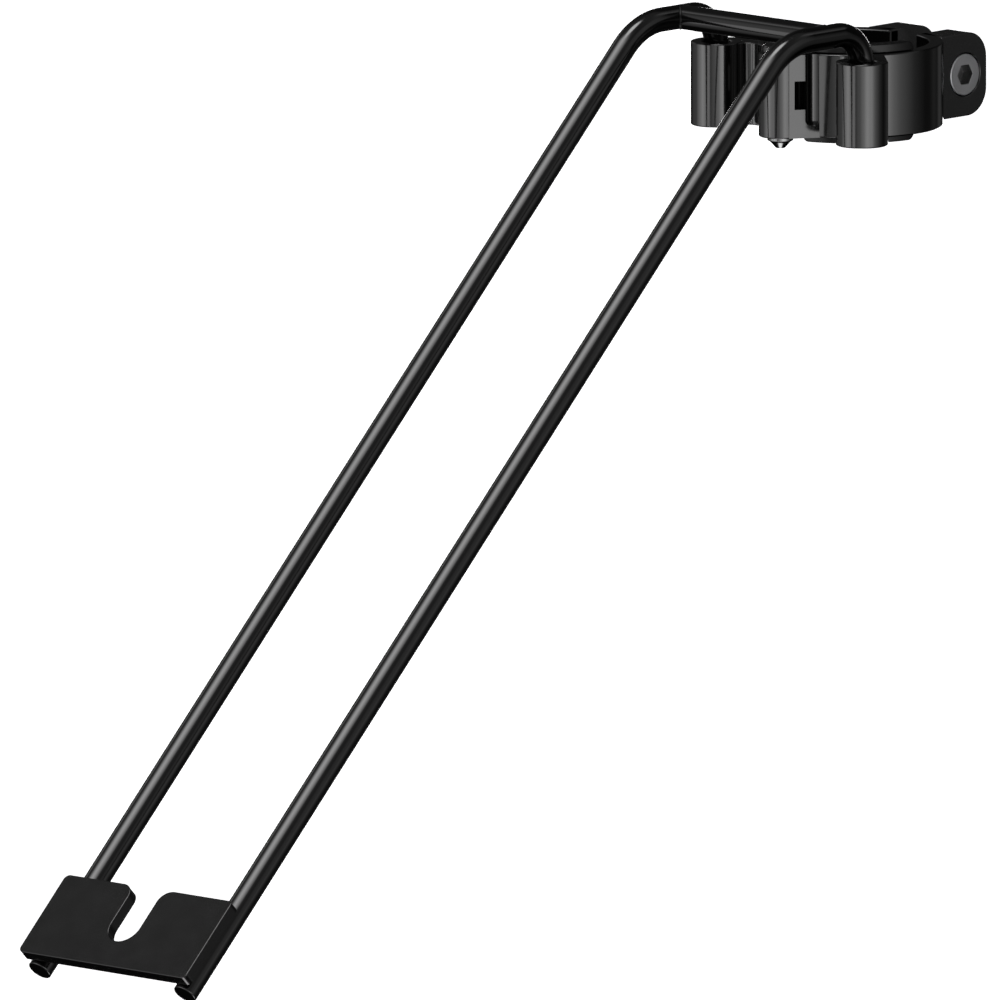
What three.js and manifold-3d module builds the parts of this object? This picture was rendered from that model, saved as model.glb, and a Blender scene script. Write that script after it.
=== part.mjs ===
// Clamp-on rack arm: a hinged tube clamp with two sockets, and a bent rod frame that hooks down
// into them and carries a slotted plate at its lower end.
// Millimetres. +Z is up, +Y points away from the rack arm, and X runs across it.
// The origin is on the axis of the clamped tube, halfway up the clamp.

import * as THREE from 'three';
import { mergeVertices } from 'three/addons/utils/BufferGeometryUtils.js';
import Module from 'manifold-3d';

const wasm = await Module();
wasm.setup();

// ---------- driving dimensions ----------

const GAP = 0.3;                  // clearance left between neighbouring pieces

// clamp band
const CLAMP_HEIGHT = 34;
const BAND_OUTER_R = 37.5;
const BAND_WALL = 6;
const BAND_FRONT_SPLIT = 4;       // half width of the opening behind the hinge
const TUBE_R = 30;                // the round tube that the clamp grips

// liner
const LINER_END_Y = -0.4;         // the liner covers the front half of the bore
const LINER_SPLIT = 5;            // half width of the opening at the hinge
const LIP_OUTER_R = 35;
const TOP_LIP_THICKNESS = 3.5;
const LOW_LIP_THICKNESS = 2.2;

// sockets for the rod frame
const SOCKET_X = 40;
const SOCKET_Y = -36.3;
const SOCKET_R = 10.6;
const SOCKET_BORE_R = 6.1;
const ARM_HOLLOW_R = 5;           // round hollow in the arm's front, between band and socket tube
const ARM_HOLLOW_CENTRE = [24.5, -34.7];
const ARM_FRONT_AT_BAND = [21.6, -30.6];
const ARM_FRONT_AT_SOCKET = [29.5, -35.2];

// hinge
const HINGE_Y = -41.5;
const HINGE_R = 8.85;
const PIN_R = 5.3;
const PIN_HEAD_R = 7.15;
const PIN_HEAD_HEIGHT = 3;
const PIN_TIP_Z = -21.8;
const EYE_R = 7.4;                // the tongue's eye, which turns inside the barrel
const TONGUE_SLOT = [-5.3, 6.3];   // lower and upper side of the slot for the tongue
const WEB_FACE_START = [8.94, -44.06];
const WEB_FACE_END = [14.9, -34.4];
const WINDOW_START = 0.95;        // along the web's face, from its start
const WINDOW_WIDTH = 4.5;
const WINDOW_DEPTH = 4.5;
const RECESS_R = 5.5;             // hollow between the web and the band
const RECESS_AZIMUTH = THREE.MathUtils.degToRad(-66.3);
const RECESS_FLOOR_Z = -13.3;
const RECESS_CORNER_R = 3.5;

// clamp ears and bolt
const EAR_INNER_X = 7.5;
const EAR_OUTER_X = 20;
const EAR_END_Y = 59.2;
const EAR_CORNER_R = 11;
const BOLT_Y = 46.4;
const BOLT_R = 5;
const BOLT_HEAD_R = 8.55;
const BOLT_HEAD_RIM = 0.8;
const HEX_KEY_FLATS = 7.2;
const HEX_KEY_DEPTH = 5;
const NUT_FLATS = 16;
const NUT_HEIGHT = 8;

// rod frame
const ROD_R = 5;
const ROD_TOP_Z = 29.2;           // height of the horizontal stretches
const ROD_FOOT_Z = -15.5;         // lower end of the stubs in the sockets
const HOOK_BEND_R = 14.5;
const KNEE_Y = -81.8;             // where the horizontal and sloping stretches would meet
const KNEE_BEND_R = 32;
const SLOPE = THREE.MathUtils.degToRad(44.4);
const SLOPE_LENGTH = 489;
const CROSS_ROD_Y = -58;
const CROSS_WELD_R = 6.1;
const CROSS_WELD_WIDTH = 1.1;

// slotted plate
const PLATE_WIDTH = 92;
const PLATE_LENGTH = 39.3;
const PLATE_THICKNESS = 5;
const PLATE_CORNER_R = 2.5;
const PLATE_TO_ROD_END = 1.2;      // how far the rods run on past the plate
const SLOT_WIDTH = 15.6;
const SLOT_DEPTH = 27.1;
const SLOT_MOUTH_R = 6;
const PLATE_WELD_LENGTH = 30;

// worked out from the above
const TOP = CLAMP_HEIGHT / 2;
const BAND_INNER_R = BAND_OUTER_R - BAND_WALL;
const LINER_OUTER_R = BAND_INNER_R - GAP;
const EYE_POCKET_R = EYE_R + GAP;

// facets on a full turn
const SIDES_BAND = 72;
const SIDES_BARREL = 32;
const SIDES_ROD = 16;

// ---------- solids ----------

function signedVolume(position, index) {
  const a = new THREE.Vector3();
  const b = new THREE.Vector3();
  const c = new THREE.Vector3();
  let volume = 0;
  for (let i = 0; i < index.length; i += 3) {
    a.fromBufferAttribute(position, index[i]);
    b.fromBufferAttribute(position, index[i + 1]);
    c.fromBufferAttribute(position, index[i + 2]);
    volume += a.dot(b.cross(c)) / 6;
  }
  return volume;
}

function toSolid(geometry) {
  const bare = geometry.clone();
  bare.deleteAttribute('normal');
  bare.deleteAttribute('uv');
  const merged = mergeVertices(bare, 1e-4);
  const triVerts = Uint32Array.from(merged.index.array);
  if (signedVolume(merged.attributes.position, triVerts) < 0) {
    for (let i = 0; i < triVerts.length; i += 3) {
      [triVerts[i], triVerts[i + 1]] = [triVerts[i + 1], triVerts[i]];
    }
  }
  const vertProperties = Float32Array.from(merged.attributes.position.array);
  return new wasm.Manifold(new wasm.Mesh({ numProp: 3, vertProperties, triVerts }));
}

function toGeometry(solid) {
  const { vertProperties, triVerts } = solid.getMesh();
  const geometry = new THREE.BufferGeometry();
  geometry.setAttribute('position', new THREE.BufferAttribute(Float32Array.from(vertProperties), 3));
  geometry.setIndex(new THREE.BufferAttribute(Uint32Array.from(triVerts), 1));
  geometry.computeVertexNormals();
  return geometry;
}

function box(low, high) {
  const size = high.map((value, i) => value - low[i]);
  const geometry = new THREE.BoxGeometry(...size);
  geometry.translate(low[0] + size[0] / 2, low[1] + size[1] / 2, low[2] + size[2] / 2);
  return toSolid(geometry);
}

function cylinderZ(radius, low, high, x = 0, y = 0, sides = SIDES_BARREL) {
  const geometry = new THREE.CylinderGeometry(radius, radius, high - low, sides);
  geometry.rotateX(Math.PI / 2);
  geometry.translate(x, y, (low + high) / 2);
  return toSolid(geometry);
}

function cylinderX(radius, low, high, y = 0, z = 0, sides = SIDES_BARREL) {
  const geometry = new THREE.CylinderGeometry(radius, radius, high - low, sides);
  geometry.rotateZ(Math.PI / 2);
  geometry.translate((low + high) / 2, y, z);
  return toSolid(geometry);
}

// a hexagonal bar along X, with its flats facing up and down
function hexagonX(flats, low, high, y) {
  const geometry = new THREE.CylinderGeometry(flats / Math.sqrt(3), flats / Math.sqrt(3), high - low, 6);
  geometry.rotateZ(Math.PI / 2);
  geometry.translate((low + high) / 2, y, 0);
  return toSolid(geometry);
}

// turns a profile of [radius, height] points round the Z axis
function turnedZ(profile, x = 0, y = 0, sides = SIDES_BARREL) {
  const points = profile.map(([radius, height]) => new THREE.Vector2(radius, height));
  const geometry = new THREE.LatheGeometry(points, sides);
  geometry.rotateX(Math.PI / 2);
  geometry.translate(x, y, 0);
  return toSolid(geometry);
}

// turns a profile of [radius, distance along X] points round an axis parallel to X
function turnedX(profile, y, z = 0, sides = SIDES_BARREL) {
  const points = profile.map(([radius, along]) => new THREE.Vector2(radius, along));
  const geometry = new THREE.LatheGeometry(points, sides);
  geometry.rotateZ(-Math.PI / 2);
  geometry.translate(0, y, z);
  return toSolid(geometry);
}

function tubeZ(innerR, outerR, low, high, x = 0, y = 0, sides = SIDES_BARREL) {
  const profile = [[innerR, low], [outerR, low], [outerR, high], [innerR, high], [innerR, low]];
  return turnedZ(profile, x, y, sides);
}

// an upright prism over an outline in X and Y
function prism(outline, low, high) {
  const shape = new THREE.Shape(outline.map(([x, y]) => new THREE.Vector2(x, y)));
  const geometry = new THREE.ExtrudeGeometry(shape, { depth: high - low, bevelEnabled: false });
  geometry.translate(0, 0, low);
  return toSolid(geometry);
}

function mirrored(solid) {
  return solid.mirror([1, 0, 0]);
}

// ---------- clamp halves (right side; the left side mirrors them) ----------

const hingeClearance = cylinderZ(HINGE_R + GAP, -TOP - 1, TOP + 1, 0, HINGE_Y);

function band() {
  const ring = tubeZ(BAND_INNER_R, BAND_OUTER_R, -TOP, TOP, 0, 0, SIDES_BAND);
  const reach = BAND_OUTER_R + 1;
  const front = box([BAND_FRONT_SPLIT, -reach, -TOP - 1], [reach, 0, TOP + 1]);
  const back = box([EAR_INNER_X, -1, -TOP - 1], [reach, reach, TOP + 1]);
  return ring.intersect(front.add(back)).subtract(hingeClearance);
}

function socketTube() {
  return tubeZ(SOCKET_BORE_R, SOCKET_R, -TOP, TOP, SOCKET_X, SOCKET_Y);
}

// a web between the band and the socket tube, its back face in line with the tube's outer side
function socketArm() {
  const centre = new THREE.Vector2(SOCKET_X, SOCKET_Y);
  const along = centre.clone().normalize();
  const across = new THREE.Vector2(-along.y, along.x);
  const back = (distance) => along.clone().multiplyScalar(distance).addScaledVector(across, SOCKET_R);
  const hollow = cylinderZ(ARM_HOLLOW_R, -TOP - 1, TOP + 1, ...ARM_HOLLOW_CENTRE);
  const outline = [ARM_FRONT_AT_BAND, ARM_FRONT_AT_SOCKET, [SOCKET_X, SOCKET_Y]];
  outline.push(back(centre.length()).toArray(), back(BAND_INNER_R).toArray());
  return prism(outline, -TOP, TOP)
    .subtract(cylinderZ(BAND_OUTER_R + GAP, -TOP - 1, TOP + 1, 0, 0, SIDES_BAND))
    .subtract(cylinderZ(SOCKET_R + GAP, -TOP - 1, TOP + 1, SOCKET_X, SOCKET_Y))
    .subtract(hollow);
}

// a block with its two outer corners rounded, seen along X
function earBlock() {
  const shape = new THREE.Shape();
  shape.moveTo(0, -TOP);
  shape.lineTo(EAR_END_Y - EAR_CORNER_R, -TOP);
  shape.absarc(EAR_END_Y - EAR_CORNER_R, -TOP + EAR_CORNER_R, EAR_CORNER_R, -Math.PI / 2, 0);
  shape.absarc(EAR_END_Y - EAR_CORNER_R, TOP - EAR_CORNER_R, EAR_CORNER_R, 0, Math.PI / 2);
  shape.lineTo(0, TOP);
  const depth = EAR_OUTER_X - EAR_INNER_X;
  const geometry = new THREE.ExtrudeGeometry(shape, { depth, bevelEnabled: false, curveSegments: 8 });
  geometry.applyMatrix4(new THREE.Matrix4().makeBasis(
    new THREE.Vector3(0, 1, 0),
    new THREE.Vector3(0, 0, 1),
    new THREE.Vector3(1, 0, 0),
  ));
  geometry.translate(EAR_INNER_X, 0, 0);
  const bandClearance = cylinderZ(BAND_OUTER_R + GAP, -TOP - 1, TOP + 1, 0, 0, SIDES_BAND);
  return toSolid(geometry).subtract(bandClearance);
}

function boltHeadProfile(clearance) {
  const head = BOLT_HEAD_R + clearance;
  const shank = BOLT_R + clearance;
  const seat = EAR_OUTER_X - BOLT_HEAD_RIM - (BOLT_HEAD_R - BOLT_R);
  return { head, shank, seat };
}

function earRight() {
  const { head, shank, seat } = boltHeadProfile(GAP);
  const countersink = turnedX([
    [0, EAR_INNER_X - 1],
    [shank, EAR_INNER_X - 1],
    [shank, seat],
    [head, EAR_OUTER_X - BOLT_HEAD_RIM],
    [head, EAR_OUTER_X + 1],
    [0, EAR_OUTER_X + 1],
  ], BOLT_Y);
  return earBlock().subtract(countersink);
}

function earLeft() {
  const hole = cylinderX(BOLT_R + 0.8, -EAR_OUTER_X - 1, -EAR_INNER_X + 1, BOLT_Y);
  const pocketFloor = -EAR_OUTER_X + NUT_HEIGHT + GAP;
  const pocket = hexagonX(NUT_FLATS + 2 * GAP, -EAR_OUTER_X - 1, pocketFloor, BOLT_Y);
  return mirrored(earBlock()).subtract(hole).subtract(pocket);
}

function liner() {
  const lipTop = TOP + GAP + TOP_LIP_THICKNESS;
  const lipBottom = -TOP - GAP - LOW_LIP_THICKNESS;
  const channel = turnedZ([
    [TUBE_R, lipBottom],
    [LIP_OUTER_R, lipBottom],
    [LIP_OUTER_R, -TOP - GAP],
    [LINER_OUTER_R, -TOP - GAP],
    [LINER_OUTER_R, TOP + GAP],
    [LIP_OUTER_R, TOP + GAP],
    [LIP_OUTER_R, lipTop],
    [TUBE_R, lipTop],
    [TUBE_R, lipBottom],
  ], 0, 0, SIDES_BAND);
  const reach = BAND_OUTER_R;
  return channel.intersect(box([LINER_SPLIT, -reach, lipBottom - 1], [reach, LINER_END_Y, lipTop + 1]));
}

// ---------- hinge ----------

// a cutter standing on the web's face, between two distances along it and two heights
function faceCutter(from, to, low, high, depth) {
  const start = new THREE.Vector2(...WEB_FACE_START);
  const along = new THREE.Vector2(...WEB_FACE_END).sub(start).normalize();
  const inward = new THREE.Vector3(-along.y, along.x, 0);
  const geometry = new THREE.BoxGeometry(to - from, high - low, depth + 2);
  geometry.translate((from + to) / 2, (low + high) / 2, depth / 2 - 1);
  geometry.applyMatrix4(new THREE.Matrix4().makeBasis(
    new THREE.Vector3(along.x, along.y, 0),
    new THREE.Vector3(0, 0, 1),
    inward,
  ));
  geometry.translate(start.x, start.y, 0);
  return toSolid(geometry);
}

const hingeWindow = faceCutter(
  WINDOW_START,
  WINDOW_START + WINDOW_WIDTH,
  ...TONGUE_SLOT,
  WINDOW_DEPTH,
);

// a full-height barrel, with a slot inside it that opens behind, to the left and at the window
function hingeBarrel() {
  const pocket = cylinderZ(EYE_POCKET_R, ...TONGUE_SLOT, 0, HINGE_Y);
  const leftOpening = prism([
    [0, HINGE_Y - 0.5],
    [0, HINGE_Y + HINGE_R + 1],
    [-HINGE_R - 1, HINGE_Y + HINGE_R + 1],
    [-HINGE_R - 1, HINGE_Y - 0.5],
  ], ...TONGUE_SLOT);
  return tubeZ(PIN_R + GAP, HINGE_R, -TOP, TOP, 0, HINGE_Y)
    .subtract(pocket)
    .subtract(leftOpening)
    .subtract(hingeWindow);
}

// the gusset that joins the barrel to the band
function gusset(low, high) {
  const outline = [WEB_FACE_START, WEB_FACE_END, [13, -30], [5, -32], [5, -40]];
  return prism(outline, low, high)
    .subtract(cylinderZ(BAND_OUTER_R + GAP, -TOP - 1, TOP + 1, 0, 0, SIDES_BAND));
}

function hingeWeb() {
  const recessDistance = BAND_OUTER_R + RECESS_R;
  const quarterTurn = Math.PI / 2;
  const profile = [[0, TOP + 1], [0, RECESS_FLOOR_Z]];
  for (let step = 0; step <= 6; step++) {
    const turn = (quarterTurn * step) / 6;
    const inset = RECESS_R - RECESS_CORNER_R;
    profile.push([
      inset + RECESS_CORNER_R * Math.sin(turn),
      RECESS_FLOOR_Z + RECESS_CORNER_R * (1 - Math.cos(turn)),
    ]);
  }
  profile.push([RECESS_R, TOP + 1], [0, TOP + 1]);
  const recess = turnedZ(
    profile,
    recessDistance * Math.cos(RECESS_AZIMUTH),
    recessDistance * Math.sin(RECESS_AZIMUTH),
    48,
  );
  return gusset(-TOP, TOP).subtract(hingeClearance).subtract(hingeWindow).subtract(recess);
}

// the eye that turns on the pin inside the barrel, and the arm that joins it to the left band
function hingeTongue() {
  const low = TONGUE_SLOT[0] + GAP;
  const high = TONGUE_SLOT[1] - GAP;
  const arm = prism([
    [-2, HINGE_Y + 1],
    [-EYE_R, HINGE_Y + 1],
    [-14, -34.6],
    [-13, -30],
    [-2, -31],
  ], low, high).subtract(cylinderZ(BAND_OUTER_R + GAP, -TOP - 1, TOP + 1, 0, 0, SIDES_BAND));
  return cylinderZ(EYE_R, low, high, 0, HINGE_Y)
    .add(arm)
    .subtract(cylinderZ(PIN_R + GAP, -TOP, TOP, 0, HINGE_Y));
}

function hingePin() {
  const headLow = TOP + GAP;
  return turnedZ([
    [0, PIN_TIP_Z],
    [1.85, PIN_TIP_Z],
    [4.2, PIN_TIP_Z + 2.4],
    [PIN_R, PIN_TIP_Z + 3.3],
    [PIN_R, headLow],
    [PIN_HEAD_R, headLow],
    [PIN_HEAD_R, headLow + PIN_HEAD_HEIGHT - 0.8],
    [PIN_HEAD_R - 0.8, headLow + PIN_HEAD_HEIGHT],
    [0, headLow + PIN_HEAD_HEIGHT],
  ], 0, HINGE_Y);
}

// ---------- clamp bolt and nut ----------

function clampBolt() {
  const { head, shank, seat } = boltHeadProfile(0);
  const body = turnedX([
    [0, -EAR_OUTER_X + 0.5],
    [shank - 0.8, -EAR_OUTER_X + 0.5],
    [shank, -EAR_OUTER_X + 1.3],
    [shank, seat],
    [head, EAR_OUTER_X - BOLT_HEAD_RIM],
    [head, EAR_OUTER_X],
    [0, EAR_OUTER_X],
  ], BOLT_Y);
  return body.subtract(hexagonX(HEX_KEY_FLATS, EAR_OUTER_X - HEX_KEY_DEPTH, EAR_OUTER_X + 1, BOLT_Y));
}

function clampNut() {
  const nut = hexagonX(NUT_FLATS, -EAR_OUTER_X, -EAR_OUTER_X + NUT_HEIGHT, BOLT_Y);
  return nut.subtract(cylinderX(BOLT_R + 0.6, -EAR_OUTER_X - 1, -EAR_OUTER_X + NUT_HEIGHT + 1, BOLT_Y));
}

// ---------- rod frame ----------

// a polyline through points, with each inner corner rounded to a bend; its stations are evenly
// spaced in t, so a straight stretch takes one step however long it is
class BentRodPath extends THREE.Curve {
  constructor(corners, bendRadii, bendSteps) {
    super();
    this.stations = [corners[0]];
    this.tangents = [corners[1].clone().sub(corners[0]).normalize()];
    for (let i = 1; i < corners.length - 1; i++) {
      const into = corners[i].clone().sub(corners[i - 1]).normalize();
      const out = corners[i + 1].clone().sub(corners[i]).normalize();
      const angle = into.angleTo(out);
      const radius = bendRadii[i - 1];
      const start = corners[i].clone().addScaledVector(into, -radius * Math.tan(angle / 2));
      const axis = into.clone().cross(out).normalize();
      const centre = start.clone().addScaledVector(axis.clone().cross(into), radius);
      for (let step = 0; step <= bendSteps[i - 1]; step++) {
        const turn = (angle * step) / bendSteps[i - 1];
        this.stations.push(start.clone().sub(centre).applyAxisAngle(axis, turn).add(centre));
        this.tangents.push(into.clone().applyAxisAngle(axis, turn));
      }
    }
    this.stations.push(corners.at(-1));
    this.tangents.push(corners.at(-1).clone().sub(corners.at(-2)).normalize());
  }

  blend(list, t) {
    const place = Math.min(Math.max(t, 0), 1) * (list.length - 1);
    const from = Math.min(Math.floor(place), list.length - 2);
    return list[from].clone().lerp(list[from + 1], place - from);
  }

  getPoint(t) {
    return this.blend(this.stations, t);
  }

  getTangent(t) {
    return this.blend(this.tangents, t).normalize();
  }

  getUtoTmapping(u) {
    return u;
  }
}

const slopeDirection = new THREE.Vector3(0, -Math.cos(SLOPE), -Math.sin(SLOPE));

function sideRod(x) {
  const knee = new THREE.Vector3(x, KNEE_Y, ROD_TOP_Z);
  const path = new BentRodPath([
    new THREE.Vector3(x, SOCKET_Y, ROD_FOOT_Z),
    new THREE.Vector3(x, SOCKET_Y, ROD_TOP_Z),
    knee,
    knee.clone().addScaledVector(slopeDirection, SLOPE_LENGTH),
  ], [HOOK_BEND_R, KNEE_BEND_R], [8, 5]);
  const section = new THREE.Shape().absarc(0, 0, ROD_R, 0, 2 * Math.PI);
  return toSolid(new THREE.ExtrudeGeometry(section, {
    steps: path.stations.length - 1,
    curveSegments: SIDES_ROD / 2,
    extrudePath: path,
  }));
}

function rodClearance(x) {
  const reach = HOOK_BEND_R + KNEE_BEND_R;
  const geometry = new THREE.CylinderGeometry(ROD_R + GAP, ROD_R + GAP, reach, SIDES_ROD * 2);
  geometry.translate(x, CROSS_ROD_Y, ROD_TOP_Z);
  return toSolid(geometry);
}

function crossRod() {
  const half = SOCKET_X - 1;
  return cylinderX(ROD_R, -half, half, CROSS_ROD_Y, ROD_TOP_Z, SIDES_ROD * 2)
    .subtract(rodClearance(-SOCKET_X))
    .subtract(rodClearance(SOCKET_X));
}

function crossWeld() {
  const inner = SOCKET_X - ROD_R - CROSS_WELD_WIDTH;
  const r = ROD_R + GAP;
  const bead = turnedX([
    [r, inner],
    [CROSS_WELD_R, inner + CROSS_WELD_WIDTH],
    [CROSS_WELD_R, SOCKET_X - 1],
    [r, SOCKET_X - 1],
    [r, inner],
  ], CROSS_ROD_Y, ROD_TOP_Z, SIDES_ROD * 2);
  return bead.subtract(rodClearance(SOCKET_X));
}

// ---------- slotted plate, in its own frame: X across, Y up the slope, Z off the rods ----------

function slottedPlate() {
  const halfWidth = PLATE_WIDTH / 2;
  const r = PLATE_CORNER_R;
  const halfSlot = SLOT_WIDTH / 2;
  const mouth = SLOT_MOUTH_R;
  const slotCentre = PLATE_LENGTH - SLOT_DEPTH + halfSlot;
  const quarter = Math.PI / 2;
  const shape = new THREE.Shape();
  shape.absarc(halfWidth - r, r, r, -quarter, 0);
  shape.absarc(halfWidth - r, PLATE_LENGTH - r, r, 0, quarter);
  shape.absarc(halfSlot + mouth, PLATE_LENGTH - mouth, mouth, quarter, Math.PI);
  shape.absarc(0, slotCentre, halfSlot, 0, -Math.PI, true);
  shape.absarc(-halfSlot - mouth, PLATE_LENGTH - mouth, mouth, 0, quarter);
  shape.absarc(-halfWidth + r, PLATE_LENGTH - r, r, quarter, Math.PI);
  shape.absarc(-halfWidth + r, r, r, Math.PI, 3 * quarter);
  shape.closePath();
  const depth = PLATE_THICKNESS;
  return toSolid(new THREE.ExtrudeGeometry(shape, { depth, bevelEnabled: false, curveSegments: 6 }));
}

// a bead along the inner side of the right rod, filling the corner under the plate
function plateWeld() {
  const shape = new THREE.Shape([
    new THREE.Vector2(SOCKET_X - 3, -GAP),
    new THREE.Vector2(SOCKET_X - 7.2, -GAP),
    new THREE.Vector2(SOCKET_X - 6.2, -3),
    new THREE.Vector2(SOCKET_X - 4.4, -4.2),
    new THREE.Vector2(SOCKET_X - 3, -3.5),
  ]);
  const bead = toSolid(new THREE.ExtrudeGeometry(shape, { depth: PLATE_WELD_LENGTH, bevelEnabled: false }));
  const rod = cylinderZ(ROD_R + GAP, -1, PLATE_WELD_LENGTH + 1, SOCKET_X, -ROD_R - GAP, SIDES_ROD * 2);
  const geometry = toGeometry(bead.subtract(rod));
  geometry.rotateX(Math.PI / 2);
  geometry.translate(0, (PLATE_LENGTH + PLATE_WELD_LENGTH) / 2, 0);
  return toSolid(geometry);
}

// ---------- assembly ----------

const GLOSS_BLACK = { color: 0x1a1a1b, roughness: 0.28, metalness: 0.35 };
const SATIN_BLACK = { color: 0x202021, roughness: 0.5, metalness: 0.2 };
const LINER_BLACK = { color: 0x151515, roughness: 0.75, metalness: 0 };
const BARE_STEEL = { color: 0x77787a, roughness: 0.4, metalness: 0.8 };

function piece(name, solid, look) {
  const mesh = new THREE.Mesh(toGeometry(solid), new THREE.MeshStandardMaterial(look));
  mesh.name = name;
  return mesh;
}

const rightHalf = new THREE.Group();
rightHalf.add(
  piece('clamp_band_right', band(), GLOSS_BLACK),
  piece('socket_tube_right', socketTube(), GLOSS_BLACK),
  piece('socket_arm_right', socketArm(), GLOSS_BLACK),
  piece('clamp_ear_right', earRight(), SATIN_BLACK),
  piece('hinge_barrel', hingeBarrel(), GLOSS_BLACK),
  piece('hinge_web', hingeWeb(), GLOSS_BLACK),
  piece('clamp_liner_right', liner(), LINER_BLACK),
);

const leftHalf = new THREE.Group();
leftHalf.add(
  piece('clamp_band_left', mirrored(band()), GLOSS_BLACK),
  piece('socket_tube_left', mirrored(socketTube()), GLOSS_BLACK),
  piece('socket_arm_left', mirrored(socketArm()), GLOSS_BLACK),
  piece('clamp_ear_left', earLeft(), SATIN_BLACK),
  piece('hinge_tongue', hingeTongue(), GLOSS_BLACK),
  piece('clamp_liner_left', mirrored(liner()), LINER_BLACK),
  piece('clamp_nut', clampNut(), BARE_STEEL),
);

const fasteners = new THREE.Group();
fasteners.add(
  piece('hinge_pin', hingePin(), GLOSS_BLACK),
  piece('clamp_bolt', clampBolt(), BARE_STEEL),
);

const plateGroup = new THREE.Group();
plateGroup.add(
  piece('slot_plate', slottedPlate(), SATIN_BLACK),
  piece('plate_weld_right', plateWeld(), GLOSS_BLACK),
  piece('plate_weld_left', mirrored(plateWeld()), GLOSS_BLACK),
);
const offRods = new THREE.Vector3(0, -Math.sin(SLOPE), Math.cos(SLOPE));
plateGroup.position.set(0, KNEE_Y, ROD_TOP_Z);
plateGroup.position.addScaledVector(slopeDirection, SLOPE_LENGTH - PLATE_TO_ROD_END);
plateGroup.position.addScaledVector(offRods, ROD_R + GAP);
plateGroup.rotation.x = SLOPE;

const rodFrame = new THREE.Group();
rodFrame.add(
  piece('side_rod_right', sideRod(SOCKET_X), GLOSS_BLACK),
  piece('side_rod_left', sideRod(-SOCKET_X), GLOSS_BLACK),
  piece('cross_rod', crossRod(), GLOSS_BLACK),
  piece('cross_weld_right', crossWeld(), GLOSS_BLACK),
  piece('cross_weld_left', mirrored(crossWeld()), GLOSS_BLACK),
  plateGroup,
);

const rackArm = new THREE.Group();
rackArm.add(rightHalf, leftHalf, fasteners, rodFrame);

export default rackArm;
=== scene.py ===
"""Looks of the clamp-on rack arm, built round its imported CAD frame.

Shapes are worked out in millimetres in the row frame and scaled to metres when their mesh is made.
"""

import math

import bmesh
import bpy
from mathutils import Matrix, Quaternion, Vector


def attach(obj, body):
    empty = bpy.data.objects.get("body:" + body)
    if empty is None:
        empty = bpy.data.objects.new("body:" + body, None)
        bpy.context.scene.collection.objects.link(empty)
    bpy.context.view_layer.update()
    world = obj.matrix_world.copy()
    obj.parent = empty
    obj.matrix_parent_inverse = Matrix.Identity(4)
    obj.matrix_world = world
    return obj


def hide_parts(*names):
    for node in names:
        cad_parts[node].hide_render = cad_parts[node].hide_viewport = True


MM = 0.001

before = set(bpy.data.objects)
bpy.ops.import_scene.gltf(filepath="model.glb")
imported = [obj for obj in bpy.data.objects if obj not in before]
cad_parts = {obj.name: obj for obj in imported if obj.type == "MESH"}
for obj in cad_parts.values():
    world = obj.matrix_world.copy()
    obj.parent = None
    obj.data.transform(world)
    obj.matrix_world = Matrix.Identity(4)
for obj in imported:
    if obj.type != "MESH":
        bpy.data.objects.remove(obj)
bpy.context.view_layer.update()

# ---------- dimensions: lengths in millimetres, angles in degrees unless turned into radians here ----------

CLEARANCE = 0.3                             # between pieces that move on each other
PAST = 1.0                                  # how far a cutting shape passes the face it cuts
SHARP_ANGLE = 38.0                          # faces that meet at more than this keep a real corner
TOP = 17.0                                  # half the clamp's height
BAND_R, BORE_R, HINGE_GAP_X = 37.5, 31.5, 4.0
SOCKET_X, SOCKET_Y, SOCKET_R, SOCKET_BORE_R = 40.0, -36.3, 10.6, 6.1
SOCKET_EDGE_R, SOCKET_RIM_R = 0.55, 0.9
ARM_HOLLOW_X, ARM_HOLLOW_Y, ARM_HOLLOW_R = 24.5, -34.7, 5.0
ARM_HOLLOW_START, ARM_HOLLOW_END = 125.2, -5.9
ARM_END_R, ARM_END_FRONT, ARM_END_BACK = 8.3, 174, 47.8    # the arm's end, inside the socket's wall
ARM_IN_BAND, ARM_BACK_IN_BAND = (20.2, -28.6), 1.5
ARM_LOWER = 0.2                             # the arm is this much lower than the band, above and below
HINGE_Y, HINGE_R = -41.5, 8.85
PIN_R, PIN_HEAD_R, PIN_HEAD_HEIGHT, PIN_TIP_Z = 5.3, 7.15, 3, -21.8
EYE_R = 7.4
TONGUE_LOW, TONGUE_HIGH = -5.3, 6.3
TONGUE_ROOT = [(-14, -34.6), (-12.2, -31.5), (-3, -33)]    # ends inside the left band
WEB_START, WEB_END = Vector((8.94, -44.06)), Vector((14.9, -34.4))
WEB_INTO_BARREL, WEB_LOWER = 1.3, 0.05
WEB_ROOT = [(15.6, -32.2), (12.5, -31.5), (6, -33.5), (3.5, -40)]    # ends inside the band and the barrel
WINDOW_NEAR, WINDOW_FAR, WINDOW_DEPTH = 0.95, 5.45, 4.5
RECESS_R, RECESS_AZIMUTH, RECESS_FLOOR, RECESS_ROUND = 5.5, math.radians(-66.3), -13.3, 3.5
EAR_INNER_X, EAR_OUTER_X, EAR_ROOT_Y, EAR_END_Y, EAR_CORNER_R = 7.5, 20.0, 32.2, 59.2, 11.0
BOLT_Y, BOLT_R, BOLT_HEAD_R, BOLT_RIM, BOLT_TIP = 46.4, 5.0, 8.55, 0.8, 0.8
BOLT_SEAT_X = EAR_OUTER_X - BOLT_RIM - (BOLT_HEAD_R - BOLT_R)
KEY_FLATS, KEY_DEPTH = 7.8, 5
NUT_FLATS, NUT_HEIGHT, NUT_HOLE_R = 16.0, 8, 5.6
NUT_POCKET_FLATS, NUT_POCKET_DEPTH, LEFT_HOLE_R = 16.6, 8.3, 5.8
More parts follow.
